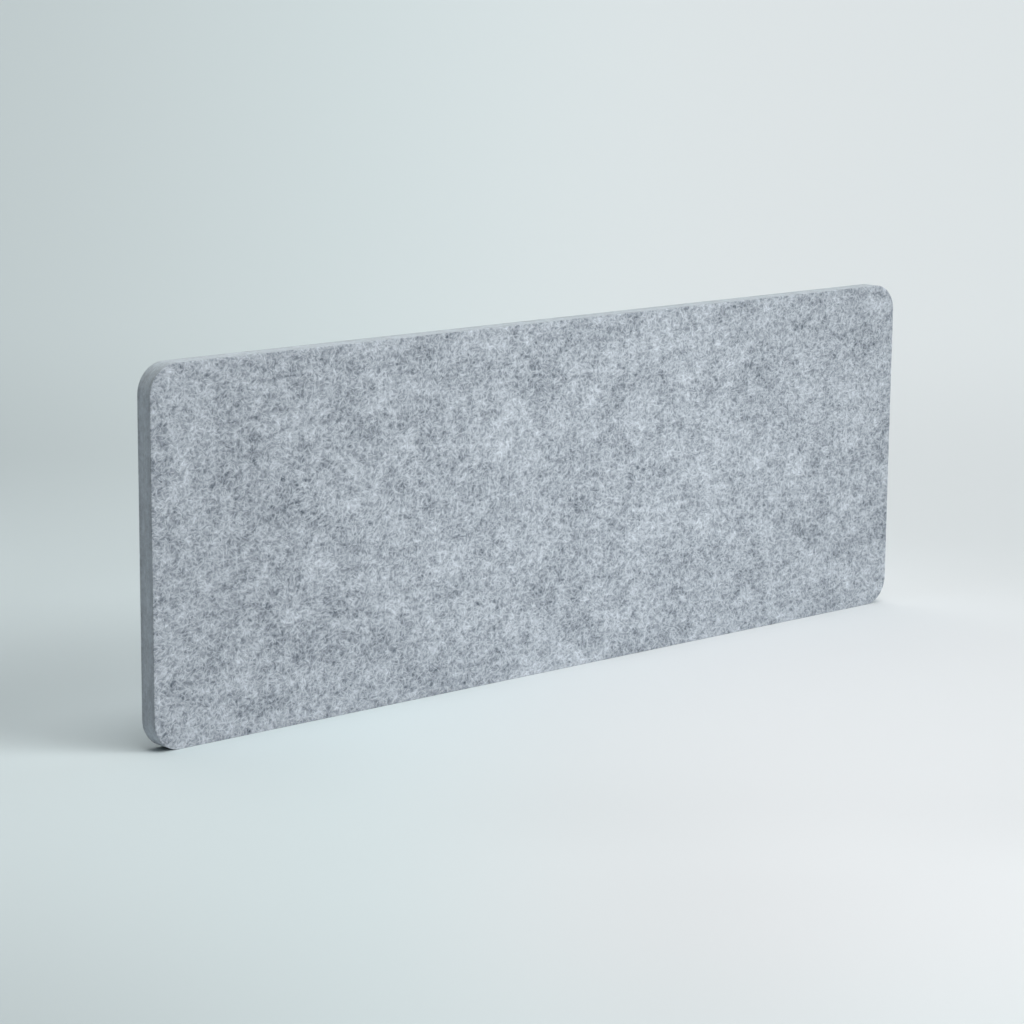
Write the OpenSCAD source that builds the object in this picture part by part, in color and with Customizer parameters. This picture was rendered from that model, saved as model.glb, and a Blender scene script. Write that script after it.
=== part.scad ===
// Acoustic divider screen: a free-standing felt slab with rounded corners.
// Two needled felt boards are bonded face to face with a hot-melt web, and the
// stack is then cut to its outline in one pass, so all three share that outline.
// Millimetres. X runs along the width, Y through the thickness and +Z is up.
// The origin is the middle of the bottom edge, and the front face looks along -Y.

/* [Outline] */
// Width of the screen from end to end
screen_w = 1200; // [600:10:2000]
// Height of the screen from its bottom edge to its top edge
screen_h = 430; // [250:5:800]
// Radius of the two upper corners of the outline
upper_corner_r = 35; // [5:1:100]
// Radius of the two lower corners of the outline
lower_corner_r = 35; // [5:1:100]
// How far the felt beds down flat on what it stands on, which cuts the lower arcs short
bed_in = 0.2; // [0.1:0.1:2]

/* [Felt boards] */
// Pressed thickness of the front felt board
front_board_t = 11.9; // [5:0.1:24]
// Pressed thickness of the back felt board
back_board_t = 11.9; // [5:0.1:24]

/* [Bond] */
// Thickness of the melted adhesive web between the boards
web_t = 0.2; // [0.1:0.05:1]

/* [Hidden] */

// Enough sides for a round corner, which is rebuilt as a true arc
$fn = 96;

// The stack through the thickness, from the front face to the back face
screen_t = front_board_t + web_t + back_board_t;
front_y = -screen_t / 2;
web_y = front_y + front_board_t;
back_board_y = web_y + web_t;

// Flat stretches that the corners leave on the outline
upper_flat_w = screen_w - 2 * upper_corner_r;
lower_flat_w = screen_w - 2 * lower_corner_r;
lower_centre_z = lower_corner_r - bed_in;
upper_centre_z = screen_h - upper_corner_r;
end_flat_h = upper_centre_z - lower_centre_z;

felt_colour = "#a3aab0";
web_colour = "#c9cdcf";

// Two round corners of one radius with the flat edge between them
module corner_pair(r, flat_w, centre_z) {
    for (side = [-1, 1])
        translate([side * flat_w / 2, centre_z])
            circle(r = r);
}

// The outline that the cutter follows, with its lower arcs running on below the bottom edge
module cut_outline() {
    corner_pair(upper_corner_r, upper_flat_w, upper_centre_z);
    corner_pair(lower_corner_r, lower_flat_w, lower_centre_z);
    translate([-screen_w / 2, lower_centre_z])
        square([screen_w, end_flat_h]);
    translate([-upper_flat_w / 2, upper_centre_z])
        square([upper_flat_w, upper_corner_r]);
    translate([-lower_flat_w / 2, 0])
        square([lower_flat_w, lower_centre_z]);
}

// The outline as it stands, ended flat at the bottom edge
module screen_outline() {
    intersection() {
        cut_outline();
        translate([-screen_w / 2, 0])
            square([screen_w, screen_h]);
    }
}

// One layer of the stack, standing upright with its front face at start_y
module layer(start_y, thickness) {
    translate([0, start_y + thickness, 0])
        rotate([90, 0, 0])
            linear_extrude(height = thickness)
                screen_outline();
}

// Felt board that faces the user
module front_board() {
    color(felt_colour)
        layer(front_y, front_board_t);
}

// Hot-melt web that bonds the boards, cut flush with them all round
module bond_web() {
    color(web_colour)
        layer(web_y, web_t);
}

// Felt board that faces away
module back_board() {
    color(felt_colour)
        layer(back_board_y, back_board_t);
}

front_board();
bond_web();
back_board();
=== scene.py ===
"""Looks of a low felt divider screen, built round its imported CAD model.

Everything is in metres in the model's own frame: X runs along the width, Y through the thickness and
Z is up. The screen stands on the floor at Z = 0, and its front face looks along -Y.
"""

import math

import bpy
import numpy as np
from mathutils import Matrix, Vector


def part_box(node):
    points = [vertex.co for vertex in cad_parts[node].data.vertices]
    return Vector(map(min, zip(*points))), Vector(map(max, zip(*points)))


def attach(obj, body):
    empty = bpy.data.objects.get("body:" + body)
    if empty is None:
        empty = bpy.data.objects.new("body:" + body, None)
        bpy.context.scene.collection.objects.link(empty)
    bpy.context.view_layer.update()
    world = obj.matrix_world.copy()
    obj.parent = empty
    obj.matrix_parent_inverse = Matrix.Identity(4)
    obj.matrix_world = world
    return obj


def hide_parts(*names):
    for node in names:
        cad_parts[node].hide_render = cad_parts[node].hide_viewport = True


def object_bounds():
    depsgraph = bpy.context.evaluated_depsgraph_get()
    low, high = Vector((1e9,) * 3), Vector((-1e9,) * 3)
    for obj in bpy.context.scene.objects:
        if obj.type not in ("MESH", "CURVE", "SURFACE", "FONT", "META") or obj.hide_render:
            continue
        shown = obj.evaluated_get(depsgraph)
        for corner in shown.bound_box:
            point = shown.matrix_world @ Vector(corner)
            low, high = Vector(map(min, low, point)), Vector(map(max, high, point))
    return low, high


MM = 0.001

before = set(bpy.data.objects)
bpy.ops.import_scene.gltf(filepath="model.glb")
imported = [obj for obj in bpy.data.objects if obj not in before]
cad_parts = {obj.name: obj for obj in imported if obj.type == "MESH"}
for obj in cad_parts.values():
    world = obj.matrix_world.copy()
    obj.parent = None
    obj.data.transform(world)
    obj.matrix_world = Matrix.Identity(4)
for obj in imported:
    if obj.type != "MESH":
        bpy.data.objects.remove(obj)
cad_low, cad_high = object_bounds()

# Outline of the screen, which both boards share
SCREEN_W = cad_high.x - cad_low.x
SCREEN_H = cad_high.z - cad_low.z
CORNER_R = 35 * MM
BED_IN = 0.2 * MM
FLAT_HALF_W = SCREEN_W / 2 - CORNER_R
LOWER_CENTRE_Z = CORNER_R - BED_IN
UPPER_CENTRE_Z = SCREEN_H - CORNER_R

# How closely the meshes follow it
CELL = 2.6 * MM
COLUMNS = 2 * round(FLAT_HALF_W / CELL)
ROWS = round((UPPER_CENTRE_Z - LOWER_CENTRE_Z) / CELL)
ARC_STEPS = 20
RING_POINTS = 2 * (COLUMNS + ROWS) + 4 * ARC_STEPS
FACE_RINGS = round(CORNER_R / CELL)
COLUMNS_X = np.linspace(-FLAT_HALF_W, FLAT_HALF_W, COLUMNS + 1)
ROWS_Z = np.linspace(LOWER_CENTRE_Z, UPPER_CENTRE_Z, ROWS + 1)
ARC_TURNS = np.linspace(0, math.pi / 2, ARC_STEPS + 1)

# The cut edge, whose arris wears round, and the rows of its mesh
ARRIS_R = 0.9 * MM
ARRIS_STEPS = 4
RIM_ROWS = 9
EDGE_RINGS = RIM_ROWS + 1 + ARRIS_STEPS
FLUSH_AT_BOND = 1.5 * MM

# Relief that pressing leaves on a face and a knife on an edge, as pairs of a cell size and a height
FACE_RELIEF = [(52 * MM, 0.10 * MM), (23 * MM, 0.08 * MM), (9 * MM, 0.05 * MM), (5.4 * MM, 0.04 * MM)]
EDGE_RELIEF = [(30 * MM, 0.05 * MM), (7 * MM, 0.035 * MM)]
SPARE_CORNERS = 3

# Height of the fibre layers in the edge
LAYER_RELIEF = 0.035 * MM

# Share of the face's relief where the arris meets the face, and what each ring further in adds to it
ARRIS_RELIEF_SHARE = 0.4
RELIEF_GAIN_SHARE = 0.3

# Places on a board's texture map, as shares of the square
FACE_ROW_SHARE = 0.450
STRIP_ROW_SHARE = 0.0175
GAP_SHARE = 0.004
STRIP_END_SHARE = 0.97
STRIPS = 4


def eased(share):
    """Shares from zero to one, with a smooth start and end."""
    return share * share * (3 - 2 * share)


class Waves:
    """Smooth relief over a surface, summed from layers with a random height at each corner of their cells."""

    def __init__(self, length, width, layers, seed, closed=False):
        rng = np.random.default_rng(seed)
        self.layers = []
        for cell, rise in layers:
            turns = max(1, round(length / cell))
            cell_u = length / turns if closed else cell
            table = rng.uniform(-1, 1, (turns + SPARE_CORNERS, int(width / cell) + SPARE_CORNERS))
            if closed:
                table[turns:] = table[:SPARE_CORNERS]
            self.layers.append((cell_u, cell, rise, table))

    def __call__(self, u, v):
        total = 0.0
        for cell_u, cell_v, rise, table in self.layers:
            column, row = (u / cell_u).astype(int), (v / cell_v).astype(int)
            across, up = eased(u / cell_u - column), eased(v / cell_v - row)
            low = table[column, row] * (1 - up) + table[column, row + 1] * up
            high = table[column + 1, row] * (1 - up) + table[column + 1, row + 1] * up
            total = total + rise * (low * (1 - across) + high * across)
        return total


def outline(inset):
    """X and Z round the outline drawn in by inset, anticlockwise from the left of the bottom edge."""
    radius = CORNER_R - inset
    sine, cosine = radius * np.sin(ARC_TURNS), radius * np.cos(ARC_TURNS)
    end_x = np.full_like(ROWS_Z, FLAT_HALF_W + radius)
    stretches = [
        (COLUMNS_X, np.full_like(COLUMNS_X, LOWER_CENTRE_Z - radius)),
        (FLAT_HALF_W + sine, LOWER_CENTRE_Z - cosine),
        (end_x, ROWS_Z),
        (FLAT_HALF_W + cosine, UPPER_CENTRE_Z + sine),
        (COLUMNS_X[::-1], np.full_like(COLUMNS_X, UPPER_CENTRE_Z + radius)),
        (-FLAT_HALF_W - sine, UPPER_CENTRE_Z + cosine),
        (-end_x, ROWS_Z[::-1]),
        (-FLAT_HALF_W - cosine, LOWER_CENTRE_Z - sine),
    ]
    x = np.concatenate([xs[:-1] for xs, zs in stretches])
    z = np.concatenate([zs[:-1] for xs, zs in stretches])
    # The flat foot cuts the lower arcs short
    return x, np.maximum(z, inset)


def outline_walk():
    """How far round the outline each of its points lies, and last the whole way round."""
    x, z = outline(0.0)
    steps = np.hypot(np.roll(x, -1) - x, np.roll(z, -1) - z)
    return np.concatenate([[0.0], np.cumsum(steps)])


def outward_ways():
    """X and Z of the outward direction at each point of the outline."""
    sides = [(COLUMNS, -math.pi / 2), (ROWS, 0.0), (COLUMNS, math.pi / 2), (ROWS, math.pi)]
    angles = np.concatenate([np.append(np.full(count, way), way + ARC_TURNS[:-1]) for count, way in sides])
    return np.cos(angles), np.sin(angles)


def grid_point(column, row):
    """Number of a point of the grid that fills the face inside the corner centres."""
    return column * (ROWS + 1) + row


def grid_border():
    """Grid points that face the points of a ring, where a whole round corner meets in one."""
    border = []
    border += [grid_point(column, 0) for column in range(COLUMNS)]
    border += [grid_point(COLUMNS, 0)] * ARC_STEPS
    border += [grid_point(COLUMNS, row) for row in range(ROWS)]
    border += [grid_point(COLUMNS, ROWS)] * ARC_STEPS
    border += [grid_point(column, ROWS) for column in range(COLUMNS, 0, -1)]
    border += [grid_point(0, ROWS)] * ARC_STEPS
    border += [grid_point(0, row) for row in range(ROWS, 0, -1)]
    border += [grid_point(0, 0)] * ARC_STEPS
    return np.array(border)


def board_rings(face_y, bonded_y, out):
    """Rings from the bonded side over the rim and arris to the face: inset, place in Y and relief share."""
    arris_y = face_y - out * ARRIS_R
    rings = [(0.0, y, 0.0) for y in np.linspace(bonded_y, arris_y, RIM_ROWS + 1)]
    for step in range(1, ARRIS_STEPS + 1):
        turn = math.pi / 2 * step / ARRIS_STEPS
        y = arris_y + out * ARRIS_R * math.sin(turn)
        rings.append((ARRIS_R * (1 - math.cos(turn)), y, ARRIS_RELIEF_SHARE * step / ARRIS_STEPS))
    for step in range(1, FACE_RINGS):
        inset = ARRIS_R + (CORNER_R - ARRIS_R) * step / FACE_RINGS
        rings.append((inset, face_y, min(1.0, ARRIS_RELIEF_SHARE + RELIEF_GAIN_SHARE * step)))
    return rings


def board_points(rings, walked, out, seed):
    """Points of the rings and then of the grid, with the relief of the face and of the cut edge."""
    bonded_y, face_y = rings[0][1], rings[-1][1]
    face_waves = Waves(SCREEN_W, SCREEN_H, FACE_RELIEF, seed)
    edge_waves = Waves(walked[-1], abs(face_y), EDGE_RELIEF, seed + 1, closed=True)
    layer_rng = np.random.default_rng(seed + 2)
    away_x, away_z = outward_ways()
    points = []
    for inset, y, relief in rings:
        x, z = outline(inset)
        edge_share = max(0.0, 1 - relief / ARRIS_RELIEF_SHARE)
        flush_share = min(1.0, abs(y - bonded_y) / FLUSH_AT_BOND)
        push = edge_waves(walked[:-1], np.full(RING_POINTS, abs(y))) + LAYER_RELIEF * layer_rng.uniform(-1, 1)
        push = push * edge_share * flush_share
        rise = relief * face_waves(x + SCREEN_W / 2, z)
        rows = [x + away_x * push, y + out * rise, np.maximum(z + away_z * push, 0.0)]
        points.append(np.stack(rows, 1))
    x, z = (places.ravel() for places in np.meshgrid(COLUMNS_X, ROWS_Z, indexing="ij"))
    points.append(np.stack([x, face_y + out * face_waves(x + SCREEN_W / 2, z), z], 1))
    return np.concatenate(points)


def board_faces(ring_count):
    """Faces of the rim and arris, of the face, at its corner centres and over the bonded side."""
    here = np.arange(RING_POINTS)
    after = (here + 1) % RING_POINTS
    bands = []
    for ring in range(ring_count - 1):
        start, end = ring * RING_POINTS, (ring + 1) * RING_POINTS
        bands.append(np.stack([start + here, start + after, end + after, end + here], 1))

    # From the last ring to the grid, with triangles where a round corner meets in one point
    last, grid_start = (ring_count - 1) * RING_POINTS, ring_count * RING_POINTS
    border = grid_start + grid_border()
    inner = np.stack([last + here, last + after, np.roll(border, -1), border], 1)
    whole = inner[:, 2] != inner[:, 3]
    corner = grid_start + grid_point(np.arange(COLUMNS)[:, None], np.arange(ROWS)[None, :]).ravel()
    grid = np.stack([corner, corner + ROWS + 1, corner + ROWS + 2, corner + 1], 1)

    rim = np.concatenate(bands[:EDGE_RINGS - 1])
    face = np.concatenate(bands[EDGE_RINGS - 1:] + [inner[whole], grid])
    return rim, face, inner[~whole][:, :3], here[None, ::-1]


def face_spots(corners):
    """Places on the texture map for the corners of the face's faces, as two rows for its two halves."""
    left = corners.mean(1)[:, :1] < 0
    half = SCREEN_W / 2
    across = (corners[..., 0] + np.where(left, half, 0.0)) / half
    start = np.where(left, GAP_SHARE, 2 * GAP_SHARE + FACE_ROW_SHARE)
    u = GAP_SHARE + across * (1 - 2 * GAP_SHARE)
    v = start + corners[..., 2] / SCREEN_H * FACE_ROW_SHARE
    return np.stack([u, v], -1)


def rim_spots(rings, walked):
    """Places on the texture map for the corners of the rim's and arris's faces, as strips above the face."""
    places = [(inset, y) for inset, y, relief in rings[:EDGE_RINGS]]
    risen = [0.0]
    for here, after in zip(places, places[1:]):
        risen.append(risen[-1] + math.hypot(after[0] - here[0], after[1] - here[1]))
    strip_length = walked[-1] / STRIPS
    strip = np.minimum(walked[:-1] // strip_length, STRIPS - 1)[:, None]
    sideways = np.stack([walked[:-1], walked[1:], walked[1:], walked[:-1]], 1) / strip_length
    u = GAP_SHARE + (sideways - strip) * (STRIP_END_SHARE - 2 * GAP_SHARE)
    strip_v = 3 * GAP_SHARE + 2 * FACE_ROW_SHARE + strip * (STRIP_ROW_SHARE + GAP_SHARE)
    bands = []
    for start, end in zip(risen, risen[1:]):
        up = np.array([[start, start, end, end]]) / risen[-1]
        bands.append(np.stack([u, strip_v + up * STRIP_ROW_SHARE], -1))
    return np.concatenate(bands)


def cap_spots():
    """Places on the texture map for the hidden bonded side, as a small disc in the last free corner."""
    turns = 2 * np.pi * np.arange(RING_POINTS) / RING_POINTS
    radius = (1 - STRIP_END_SHARE - 2 * GAP_SHARE) / 2
    middle = 1 - GAP_SHARE - radius
    return np.stack([middle + radius * np.cos(turns), middle + radius * np.sin(turns)], 1)[None]


def build_board(name, node, seed):
    """Mesh of one board, with its face, worn arris, cut rim and bonded side, and its texture map."""
    low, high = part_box(node)
    front = low.y + high.y < 0
    face_y, bonded_y = (low.y, high.y) if front else (high.y, low.y)
    out = -1 if front else 1
    rings = board_rings(face_y, bonded_y, out)
    walked = outline_walk()
    points = board_points(rings, walked, out, seed)

    # Each kind of face with its places on the map, turned round on the back board
    rim, face, tips, cap = board_faces(len(rings))
    kinds = [
        (rim, rim_spots(rings, walked)),
        (face, face_spots(points[face])),
        (tips, face_spots(points[tips])),
        (cap, cap_spots()),
    ]
    if not front:
        kinds = [(faces[:, ::-1], spots[:, ::-1]) for faces, spots in kinds]

    mesh = bpy.data.meshes.new(name)
    mesh.from_pydata(points.tolist(), [], [corners for faces, spots in kinds for corners in faces.tolist()])
    layer = mesh.uv_layers.new(name="OFBake")
    spots = np.concatenate([spots.reshape(-1, 2) for faces, spots in kinds])
    layer.uv.foreach_set("vector", spots.astype(np.float32).ravel())
    # All smooth but the bonded side
    mesh.polygons.foreach_set("use_smooth", [True] * (len(mesh.polygons) - 1) + [False])
    mesh.update()
    board = bpy.data.objects.new(name, mesh)
    bpy.context.scene.collection.objects.link(board)
    return board


# Numbers of a mix node's two inputs and its output, for plain numbers and for colours
MIX_SOCKETS = {"FLOAT": (2, 3, 0), "RGBA": (6, 7, 2)}


class Graph:
    """The nodes of a material or a world, with short calls for the kinds that are used here."""

    def __init__(self, block):
        block.use_nodes = True
        self.block = block
        self.tree = block.node_tree
        self.tree.nodes.clear()

    def node(self, kind, inputs=None, **settings):
        """A new node, where an input that isn't linked from another node holds its value itself."""
        made = self.tree.nodes.new(kind)
        for key, value in settings.items():
            setattr(made, key, value)
        for key, value in (inputs or {}).items():
            if isinstance(value, bpy.types.NodeSocket):
                self.tree.links.new(value, made.inputs[key])
            else:
                made.inputs[key].default_value = value
        return made

    def surface(self, kind, inputs, output="ShaderNodeOutputMaterial"):
        """The shader that the block shows, with its output."""
        shader = self.node(kind, inputs)
        self.node(output, {"Surface": shader.outputs[0]})

    def math(self, operation, first, second=0.0):
        return self.node("ShaderNodeMath", {0: first, 1: second}, operation=operation).outputs[0]

    def plus(self, first, second):
        return self.math("ADD", first, second)

    def minus(self, first, second):
        return self.math("SUBTRACT", first, second)

    def times(self, first, second):
        return self.math("MULTIPLY", first, second)

    def vector(self, operation, first, second):
        return self.node("ShaderNodeVectorMath", {0: first, 1: second}, operation=operation).outputs[0]

    def scaled(self, vector, scale):
        return self.node("ShaderNodeVectorMath", {0: vector, "Scale": scale}, operation="SCALE").outputs[0]

    def apart(self, vector):
        """X, Y and Z of a vector."""
        return self.node("ShaderNodeSeparateXYZ", {0: vector}).outputs[:3]

    def chances(self, colour):
        """The three even chances that a cell's colour holds."""
        return self.node("ShaderNodeSeparateColor", {0: colour}).outputs[:3]

    def noise(self, place, size, detail=0.0, roughness=0.5, kind="3D", colour=False):
        """Noise from 0 to 1, whose features are about size apart in millimetres, as a number or a colour."""
        inputs = {"Vector": place, "Scale": 1 / size, "Detail": detail, "Roughness": roughness}
        made = self.node("ShaderNodeTexNoise", inputs, noise_dimensions=kind)
        return made.outputs[1 if colour else 0]

    def cells(self, place, size):
        """Outputs of a flat pattern of cells scattered about size apart in millimetres."""
        inputs = {"Vector": place, "Scale": 1 / size, "Randomness": 1.0}
        return self.node("ShaderNodeTexVoronoi", inputs, voronoi_dimensions="2D", feature="F1").outputs

    def spread(self, value, low, high, to_low=0.0, to_high=1.0, kind="LINEAR"):
        """Value drawn out from low and high to to_low and to_high, and held there beyond them."""
        inputs = {0: value, 1: low, 2: high, 3: to_low, 4: to_high}
        return self.node("ShaderNodeMapRange", inputs, interpolation_type=kind, clamp=True).outputs[0]

    def slope(self, value, *ends):
        """The same with a smooth start and end."""
        return self.spread(value, *ends, kind="SMOOTHSTEP")

    def hill(self, value, rises, falls):
        """One between two slopes, each given by where it starts and ends, and zero outside them."""
        return self.times(self.slope(value, *rises), self.slope(value, *falls, 1.0, 0.0))

    def blend(self, share, first, second, kind="RGBA"):
        """First where share is zero, which turns into second where share is one."""
        first_input, second_input, output = MIX_SOCKETS[kind]
        inputs = {0: share, first_input: first, second_input: second}
        return self.node("ShaderNodeMix", inputs, data_type=kind).outputs[output]

    def seen(self):
        """One for rays that show a surface to the camera, also in gloss or glass, and zero for others."""
        rays = self.node("ShaderNodeLightPath").outputs
        seen = self.math("MAXIMUM", rays["Is Camera Ray"], rays["Is Glossy Ray"])
        return self.math("MAXIMUM", seen, rays["Is Transmission Ray"])

    def add_up(self, pairs):
        """Sum of value times weight, with each value taken from its middle of a half."""
        total = None
        for value, weight in pairs:
            part = self.times(self.minus(value, 0.5), weight)
            total = part if total is None else self.plus(total, part)
        return total


# Felt colours, as linear shares of light sent back, and how the face's swings from dark to light fibre
FACE_COLOUR = (0.361, 0.400, 0.438)
FACE_SWING = (0.376, 0.400, 0.418)
CUT_COLOUR = (0.515, 0.583, 0.626)

# How much longer the pattern of the face is along the board than up it, and its clouds besides
LAY_SHARE = 1.15
CLOUD_LAY_SHARE = 1.12

# Clouds and grain of lighter and darker fibre in the face: size in millimetres and weight
CLOUDS = [(95.0, 0.23), (52.0, 0.23), (29.0, 0.30), (15.5, 0.37)]
GRAIN = [(7.5, 0.56), (3.7, 0.64), (1.9, 0.34), (0.7, 0.20)]

# Strands that lie in the face, one to a cell: cell size and half width in millimetres, and lightness
STRANDS = [
    (6.2, 1.0, 1.0),
    (7.3, 1.2, 0.9),
    (8.6, 1.4, 1.0),
    (10.1, 1.6, 0.85),
    (12.0, 1.9, 0.8),
    (9.3, 1.1, 1.0),
]
STRAND_WEIGHT = 0.46

# A strand's bow, the share of its width that is full, its tip and neck as shares of its cell, and levels
STRAND_BOW = 1.6
STRAND_CORE = 0.2
STRAND_TIP, STRAND_NECK = 0.62, 0.40
STRAND_LEVELS = (0.45, 1.0)

# Single fibres in a strand: size across it in millimetres, draw along it, range of their noise and tones
FIBRE_SIZE = 0.42
FIBRE_DRAW = 0.09
FIBRE_RANGE = (0.30, 0.70)
FIBRE_LIGHT = (0.72, 1.22)

# Loose fibres over and between the strands, likewise, with their weight and about how much they cover
LOOSE = [(4.4, 0.20, 1.0), (5.6, 0.16, 0.9), (7.1, 0.24, 0.8)]
LOOSE_WEIGHT = 0.20
LOOSE_COVER = 1 / 8

# Shift in millimetres from one layer of strands or of loose fibres to the next, and its slant
STRAND_STEP = 37.0
LOOSE_STEP = -53.0
SHIFT_SLANT = -0.7

# How far the strands' places bend, and over what size, in millimetres
BEND = 2.2
BEND_SIZE = 7.0

# Dark pits, painted shade with no depth in the bump: cell size in millimetres, edge and floor as shares of
# it, chances of none and all, and weight
PIT_CELL = 8.5
PIT_SLOPE = (0.24, 0.06)
PIT_CHANCES = (0.3, 1.0)
PIT_SHADE_WEIGHT = 0.22

# Streaks in the cut edge: length and size across in millimetres and weight, then its grain likewise
CUT_STREAKS = [(40.0, 4.5, 0.20), (16.0, 2.2, 0.24), (5.0, 0.6, 0.24), (1.6, 0.22, 0.30)]
CUT_GRAIN = [(19.0, 0.16), (6.5, 0.22), (2.6, 0.24), (0.7, 0.22)]

# Where the edge turns darker towards the face, in millimetres from the bond, and how much darker
DARKER_FROM_TO = (3.0, 9.0)
DARKER_WEIGHT = 0.10

# Where the cut edge takes over from the face, in millimetres below it, and how single fibres fray the line
CUT_FROM_TO = (0.25, 0.95)
FRAY_SIZE = 1.3
FRAY_DEPTH = 0.8

# Heights in millimetres for the bump, those of grain and streaks by their place in the lists above
STRAND_HEIGHT = 0.16
LOOSE_HEIGHT = 0.10
GRAIN_HEIGHTS = {1: 0.16, 0: 0.20}
CUT_STREAK_HEIGHTS = {2: 0.12, 3: 0.08}
CUT_GRAIN_HEIGHTS = {2: 0.10, 3: 0.06}
FELT_BUMP = 0.6

# Finish of the felt, which is a little less rough on a strand
FELT_ROUGHNESS = (0.97, 0.86)
FELT_SPECULAR = 0.25
FELT_SHEEN = 0.12
FELT_SHEEN_ROUGHNESS = 0.5


def strand(graph, place, cell, width, shift):
    """A short bowed strand in each cell of a scattered pattern, each in a direction of its own."""
    spot = graph.vector("ADD", place, (shift, SHIFT_SLANT * shift, 0.0))
    cells = graph.cells(spot, cell)
    turn_chance, bow_chance, level_chance = graph.chances(cells["Color"])
    from_middle = graph.vector("SUBTRACT", spot, cells["Position"])
    inputs = {"Vector": from_middle, "Angle": graph.times(turn_chance, 2 * math.pi)}
    turned = graph.node("ShaderNodeVectorRotate", inputs, rotation_type="Z_AXIS").outputs[0]
    along, across = graph.apart(turned)[:2]
    bow = graph.times(graph.minus(bow_chance, 0.5), STRAND_BOW / cell)
    bowed = graph.plus(across, graph.times(graph.times(along, along), bow))
    body = graph.slope(graph.math("ABSOLUTE", bowed), width, STRAND_CORE * width)
    ends = graph.slope(graph.math("ABSOLUTE", along), STRAND_TIP * cell, STRAND_NECK * cell)
    level = graph.spread(level_chance, 0.0, 1.0, *STRAND_LEVELS)

    # Single fibres that run along the strand
    drawn = graph.node("ShaderNodeCombineXYZ", {0: graph.times(along, FIBRE_DRAW), 1: bowed}).outputs[0]
    fibres = graph.noise(drawn, FIBRE_SIZE, detail=1.0, kind="2D")
    level = graph.times(level, graph.spread(fibres, *FIBRE_RANGE, *FIBRE_LIGHT))
    return graph.times(graph.times(body, ends), level)


def overlaid(graph, place, strands, start, step):
    """Layers of strands, each shifted a step further, of which the lightest shows."""
    top = None
    for number, (cell, width, light) in enumerate(strands):
        one = graph.times(strand(graph, place, cell, width, start + step * number), light)
        top = one if top is None else graph.math("MAXIMUM", top, one)
    return top


def noises(graph, place, layers):
    """Noise of each size in a list, with its weight."""
    return [(graph.noise(place, size), weight) for size, weight in layers]


def raised(pairs, heights):
    """Some of the values in a list of pairs, each with its height."""
    return [(pairs[number][0], height) for number, height in heights.items()]


def face_look(graph, place, x, z, shift):
    """Colour, height and roughness of the face: clouds, grain, strands over each other, and dark pits of
    painted shade.
    """
    laid = graph.vector("MULTIPLY", place, (1 / LAY_SHARE, 1.0, 1.0))
    laid = graph.vector("ADD", laid, (shift, 0.0, -shift))
    clouds = noises(graph, graph.vector("MULTIPLY", laid, (1 / CLOUD_LAY_SHARE, 1.0, 1.0)), CLOUDS)
    grain = noises(graph, laid, GRAIN)

    # Strands and pits lie on flat places that bend a little
    flat = graph.node("ShaderNodeCombineXYZ", {0: graph.math("DIVIDE", x, LAY_SHARE), 1: z}).outputs[0]
    bend = graph.noise(laid, BEND_SIZE, detail=1.0, colour=True)
    bend = graph.scaled(graph.vector("SUBTRACT", bend, (0.5, 0.5, 0.5)), BEND)
    bent = graph.vector("ADD", flat, bend)
    top = overlaid(graph, bent, STRANDS, shift, STRAND_STEP)
    loose = overlaid(graph, bent, LOOSE, shift + LOOSE_STEP, LOOSE_STEP)

    # The pits are painted shade: darker spots that the height leaves flat
    pits = graph.cells(bent, PIT_CELL)
    pit_chance = graph.spread(graph.chances(pits["Color"])[0], *PIT_CHANCES)
    pit_shade = graph.times(graph.slope(pits["Distance"], *PIT_SLOPE), pit_chance)

    tone = graph.add_up(clouds + grain + [(top, STRAND_WEIGHT)])
    tone = graph.minus(tone, graph.times(pit_shade, PIT_SHADE_WEIGHT))
    tone = graph.plus(tone, graph.times(loose, LOOSE_WEIGHT))
    tone = graph.minus(tone, LOOSE_WEIGHT * LOOSE_COVER)
    colour = graph.vector("ADD", FACE_COLOUR, graph.scaled(FACE_SWING, tone))
    height = graph.add_up([(top, STRAND_HEIGHT), (loose, LOOSE_HEIGHT)] + raised(grain, GRAIN_HEIGHTS))
    return colour, height, graph.spread(top, 0.0, 1.0, *FELT_ROUGHNESS)


def cut_look(graph, place, from_bond):
    """Colour and height of the cut edge: layers of fibre seen end on, darker towards the face."""
    streaks = []
    for length, across, weight in CUT_STREAKS:
        drawn = graph.vector("MULTIPLY", place, (1 / length, 1 / across, 1 / length))
        streaks.append((graph.noise(drawn, 1.0, detail=1.0), weight))
    grain = noises(graph, place, CUT_GRAIN)
    towards_face = graph.slope(from_bond, *DARKER_FROM_TO)
    tone = graph.plus(graph.add_up(streaks + grain), 1.0 + DARKER_WEIGHT / 2)
    tone = graph.minus(tone, graph.times(towards_face, DARKER_WEIGHT))
    height = graph.add_up(raised(streaks, CUT_STREAK_HEIGHTS) + raised(grain, CUT_GRAIN_HEIGHTS))
    return graph.scaled(CUT_COLOUR, tone), height


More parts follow.
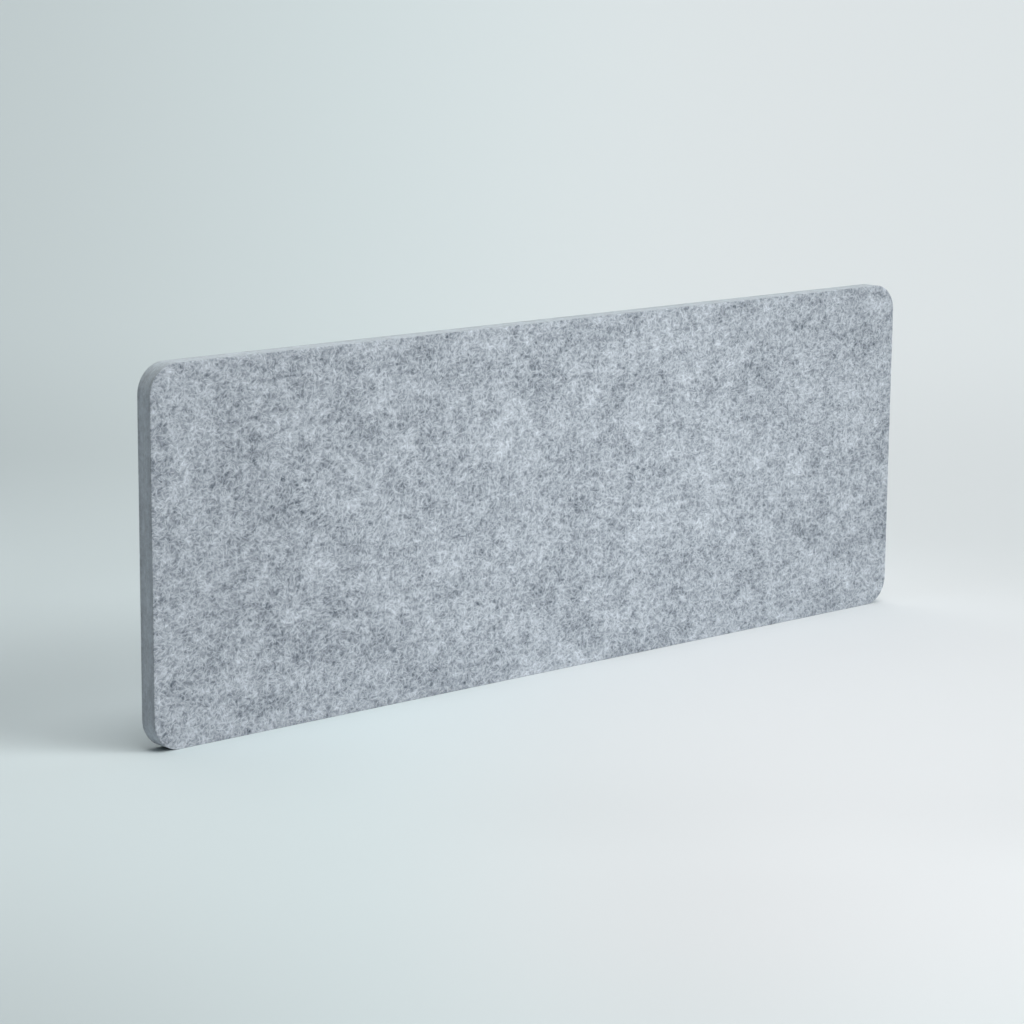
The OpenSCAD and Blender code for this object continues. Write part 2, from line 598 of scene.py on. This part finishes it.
def felt(name, face_half, shift):
    """Pressed felt: a mottled, fibrous face on the outer side, and a smoother cut edge round it."""
    graph = Graph(bpy.data.materials.new(name))
    place = graph.scaled(graph.node("ShaderNodeTexCoord").outputs["Object"], 1 / MM)
    shifted = graph.vector("ADD", place, (shift, 0.0, -shift))
    x, y, z = graph.apart(place)
    from_bond = graph.math("ABSOLUTE", y)
    face_colour, face_height, rough = face_look(graph, place, x, z, shift)
    cut_colour, cut_height = cut_look(graph, shifted, from_bond)

    # The cut edge takes over on the arris, along a frayed line
    depth = graph.minus(face_half / MM, from_bond)
    fray = graph.times(graph.minus(graph.noise(shifted, FRAY_SIZE, detail=1.0), 0.5), FRAY_DEPTH)
    cut_share = graph.slope(graph.plus(depth, fray), *CUT_FROM_TO)
    height = graph.blend(cut_share, face_height, cut_height, kind="FLOAT")
    bump = graph.node("ShaderNodeBump", {"Height": height, "Distance": MM, "Strength": FELT_BUMP})
    graph.surface(
        "ShaderNodeBsdfPrincipled",
        {
            "Base Color": graph.blend(cut_share, face_colour, cut_colour),
            "Roughness": rough,
            "Specular IOR Level": FELT_SPECULAR,
            "Sheen Weight": FELT_SHEEN,
            "Sheen Roughness": FELT_SHEEN_ROUGHNESS,
            "Normal": bump.outputs[0],
        },
    )
    return graph.block


# The melted web: its colour, and the size in millimetres and the range of its unevenness
WEB_COLOUR = (0.42, 0.45, 0.47)
WEB_SIZE = 3.0
WEB_RANGE = (0.3, 0.7)

# What the unevenness does to its tone, roughness and height
WEB_TONES = (0.75, 1.1)
WEB_ROUGHNESS = (0.55, 0.35)
WEB_HEIGHT = 0.1 * MM
WEB_BUMP = 0.5
WEB_SPECULAR = 0.4


def web_material():
    """The melted web, which is glossier than the felt and uneven in thickness."""
    graph = Graph(bpy.data.materials.new("adhesive_web"))
    place = graph.scaled(graph.node("ShaderNodeTexCoord").outputs["Object"], 1 / MM)
    uneven = graph.noise(place, WEB_SIZE, detail=3.0, roughness=0.6)
    tone = graph.spread(uneven, *WEB_RANGE, *WEB_TONES)
    bump = graph.node("ShaderNodeBump", {"Height": uneven, "Distance": WEB_HEIGHT, "Strength": WEB_BUMP})
    graph.surface(
        "ShaderNodeBsdfPrincipled",
        {
            "Base Color": graph.scaled(WEB_COLOUR, tone),
            "Roughness": graph.spread(uneven, *WEB_RANGE, *WEB_ROUGHNESS),
            "Specular IOR Level": WEB_SPECULAR,
            "Normal": bump.outputs[0],
        },
    )
    return graph.block


# The boards replace their plain CAD solids, each with a seed that also shifts its pattern
BOARDS = [
    ("front_felt", "front_board", "felt_front", 11),
    ("back_felt", "back_board", "felt_back", 29),
]
SHIFT_BY_SEED = 40.0

for board_name, node_name, slot_name, board_seed in BOARDS:
    piece = build_board(board_name, node_name, board_seed)
    piece.data.materials.append(felt(slot_name, cad_high.y, SHIFT_BY_SEED * board_seed))
    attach(piece, "root")
    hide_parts(node_name)

# The web keeps its CAD solid
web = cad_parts["bond_web"]
web.data.materials.clear()
web.data.materials.append(web_material())

# Floor that reaches far past the top of the picture
FLOOR_HALF = 150.0

# Its tone as seen, the share of blue beside its green, and the grey that it sends back to the screen
FLOOR_TONE = 0.844
FLOOR_BLUE = 1.018
FLOOR_BOUNCE = (0.648, 0.680, 0.712, 1.0)

# The spot in front of the screen that the drifts of the tone are laid out from, and the way ahead of it
TONE_SPOT = (-2.5, -2.7)
TONE_AHEAD = (0.669, 0.743)
TONE_NEAREST = 2.2

# Painted shade to the left and round the foot, and painted light to the right, by how far round to the right
# of the spot: where each starts and ends, and its two values there
LEFT_FALL = (-0.24, 0.05, 0.231, 0.0)
RIGHT_RISE = (0.04, 0.19, 0.0, 0.096)
FOOT_FALL = (-0.05, 0.03, 0.0, 0.046)

# How those change with how near the spot is, which is one over the metres ahead of it; the lift takes back
# part of the painted shade on the left
LEFT_LIFT = 0.54
LEFT_LIFT_RISES = (0.19, 0.24)
LEFT_LIFT_FALLS = (0.32, 0.44)
RIGHT_RISE_NEAR = (0.25, 0.36)
FOOT_RISES = (0.225, 0.265)
FOOT_FALLS = (0.32, 0.35)

# Painted shade by how near to the spot alone: darker close to the spot and in a band further from it
FRONT_FALL = (0.34, 0.46, 0.0, 0.034)
BAND_FALL = 0.059
BAND_RISES = (0.14, 0.20)
BAND_FALLS = (0.22, 0.26)

# The share of red beside the green, a painted tint of the light, which rises to the right and round the foot
# of the screen
RED_TURN = (-0.07, 0.10, 0.885, 0.937)
WARM_TURN = (-0.06, 0.04, 0.0, 0.026)
WARM_RISES = (0.22, 0.27)
WARM_FALLS = (0.36, 0.42)

# Plain tone and red share that the drifts end in outside the photographed part, to meet the backdrop
PLAIN_TONE = 0.80
PLAIN_RED = 0.912

# Where they end: round to either side, then close ahead of the spot and far away from it in metres
PLAIN_SIDES = (0.18, 0.90, 1.0, 0.0)
PLAIN_AHEAD = (0.3, 2.3)
PLAIN_AWAY = (34.0, 140.0)


def floor_painted_light_and_shade(graph, near, right):
    """Green of the floor as it is seen, with its drifts of painted light and shade."""
    lift = graph.times(graph.hill(near, LEFT_LIFT_RISES, LEFT_LIFT_FALLS), LEFT_LIFT)
    left_fall = graph.times(graph.slope(right, *LEFT_FALL), graph.minus(1.0, lift))
    right_rise = graph.times(graph.slope(right, *RIGHT_RISE), graph.slope(near, *RIGHT_RISE_NEAR))
    band_fall = graph.times(graph.hill(near, BAND_RISES, BAND_FALLS), BAND_FALL)
    foot_fall = graph.times(graph.hill(near, FOOT_RISES, FOOT_FALLS), graph.slope(right, *FOOT_FALL))
    # Painted shade on the left and painted light on the right, then painted shade near the spot, in the band
    # and round the foot
    tone = graph.plus(graph.minus(FLOOR_TONE, left_fall), right_rise)
    for fall in (graph.slope(near, *FRONT_FALL), band_fall, foot_fall):
        tone = graph.minus(tone, fall)
    return tone


def floor_painted_tint(graph, near, right):
    """Share of red beside the floor's green, a painted tint of the light."""
    warm = graph.times(graph.hill(near, WARM_RISES, WARM_FALLS), graph.slope(right, *WARM_TURN))
    return graph.plus(graph.slope(right, *RED_TURN), warm)


def floor_paint(graph):
    """Colour of the floor as it is seen, with painted light and shade and a painted tint of the light that
    drift smoothly over it.
    """
    place = graph.node("ShaderNodeTexCoord").outputs["Object"]
    offset = graph.vector("SUBTRACT", place, (*TONE_SPOT, 0.0))
    x, y = graph.apart(offset)[:2]
    ahead_x, ahead_y = TONE_AHEAD
    ahead = graph.plus(graph.times(x, ahead_x), graph.times(y, ahead_y))
    side = graph.minus(graph.times(x, ahead_y), graph.times(y, ahead_x))
    near = graph.math("DIVIDE", 1.0, graph.math("MAXIMUM", ahead, TONE_NEAREST))
    right = graph.times(side, near)

    # One in the photographed part, and zero where the floor is plain
    start, end = PLAIN_AWAY
    distance = graph.node("ShaderNodeVectorMath", {0: offset}, operation="LENGTH").outputs["Value"]
    shown = graph.slope(graph.math("DIVIDE", 1.0, distance), 1 / end, 1 / start)
    shown = graph.times(shown, graph.slope(graph.math("ABSOLUTE", right), *PLAIN_SIDES))
    shown = graph.times(shown, graph.slope(ahead, *PLAIN_AHEAD))

    tone = graph.times(graph.minus(floor_painted_light_and_shade(graph, near, right), PLAIN_TONE), shown)
    tone = graph.plus(tone, PLAIN_TONE)
    red_share = graph.times(graph.minus(floor_painted_tint(graph, near, right), PLAIN_RED), shown)
    red_share = graph.plus(red_share, PLAIN_RED)
    colour = {0: graph.times(tone, red_share), 1: tone, 2: graph.times(tone, FLOOR_BLUE)}
    return graph.node("ShaderNodeCombineColor", colour).outputs[0]


def build_floor():
    """A wide floor, painted with light and shade for what is seen of it and plain grey for the light that it
    sends back.
    """
    mesh = bpy.data.meshes.new("studio_floor")
    reach = FLOOR_HALF
    corners = [(-reach, -reach, 0), (reach, -reach, 0), (reach, reach, 0), (-reach, reach, 0)]
    mesh.from_pydata(corners, [], [(0, 1, 2, 3)])
    floor = bpy.data.objects.new("studio_floor", mesh)
    bpy.context.scene.collection.objects.link(floor)

    graph = Graph(bpy.data.materials.new("studio_floor"))
    colour = graph.blend(graph.seen(), FLOOR_BOUNCE, floor_paint(graph))
    graph.surface("ShaderNodeBsdfDiffuse", {"Color": colour})
    mesh.materials.append(graph.block)


build_floor()

# Distant lamps that light the whole floor evenly: direction, how wide the disc looks in degrees, strength
SUNS = {
    "overhead": ((0.00, -0.15, 1.00), 30.0, 1.30),
    "behind": ((0.20, 0.45, 1.00), 60.0, 0.76),
    "low_key": ((0.532, -0.788, 0.309), 40.0, 1.70),
    "high_key": ((0.602, -0.623, 0.500), 26.0, 0.77),
}

# Wide soft boxes low down near each face, out of the picture: place, the point that each faces, and watts
SOFT_BOXES = {
    "front_box": ((0.15, -0.95, 0.24), (0.12, 0.0, 0.22), 0.56),
    "back_box": ((0.25, 0.95, 0.24), (0.20, 0.0, 0.22), 0.90),
}
BOX_SIZE = (1.0, 0.3)
BOX_SPREAD = math.radians(70)


def add_lamp(name, kind, place, target):
    """A lamp that faces a point and doesn't show in the picture."""
    data = bpy.data.lights.new(name, kind)
    lamp = bpy.data.objects.new(name, data)
    lamp.location = place
    lamp.rotation_euler = (Vector(target) - Vector(place)).to_track_quat("-Z", "Y").to_euler()
    lamp.visible_camera = False
    bpy.context.scene.collection.objects.link(lamp)
    return data


def build_lights():
    """Soft light from overhead, behind and the front right, and a little close to each face."""
    for name, (place, width, strength) in SUNS.items():
        sun = add_lamp(name, "SUN", place, (0.0, 0.0, 0.0))
        sun.angle = math.radians(width)
        sun.energy = strength
    for name, (place, target, power) in SOFT_BOXES.items():
        box = add_lamp(name, "AREA", place, target)
        box.shape = "RECTANGLE"
        box.size, box.size_y = BOX_SIZE
        box.spread = BOX_SPREAD
        box.energy = power


build_lights()

# Pale backdrop above the floor, which is seen but sends no light
BACKDROP_COLOUR = (0.666, 0.730, 0.743, 1.0)


def build_backdrop():
    """A world that shows its colour in the picture, and in gloss and through glass, but lights nothing."""
    graph = Graph(bpy.data.worlds.new("studio"))
    inputs = {"Color": BACKDROP_COLOUR, "Strength": graph.seen()}
    graph.surface("ShaderNodeBackground", inputs, output="ShaderNodeOutputWorld")
    bpy.context.scene.world = graph.block


build_backdrop()

# Camera as the photograph was taken, found from the outline of the screen
CAMERA_PLACE = (-2.4988, -2.7060, 0.9086)
CAMERA_TURN = math.radians(-41.9543)
CAMERA_DIP = math.radians(10.9768)
CAMERA_ROLL = math.radians(0.4542)
CAMERA_LENS = 108.672
CAMERA_SENSOR = 36.0
CAMERA_REACH = 4 * FLOOR_HALF


def build_camera():
    """The camera, turned about Z, dipped towards the floor and rolled about its own axis."""
    data = bpy.data.cameras.new("camera")
    data.sensor_fit = "HORIZONTAL"
    data.sensor_width = CAMERA_SENSOR
    data.lens = CAMERA_LENS
    data.clip_end = CAMERA_REACH
    camera = bpy.data.objects.new("camera", data)
    turned = Matrix.Rotation(CAMERA_TURN, 4, "Z") @ Matrix.Rotation(math.pi / 2 - CAMERA_DIP, 4, "X")
    camera.matrix_world = Matrix.Translation(CAMERA_PLACE) @ turned @ Matrix.Rotation(CAMERA_ROLL, 4, "Z")
    bpy.context.scene.collection.objects.link(camera)
    bpy.context.scene.camera = camera


build_camera()
bpy.context.scene.view_settings.view_transform = "Standard"
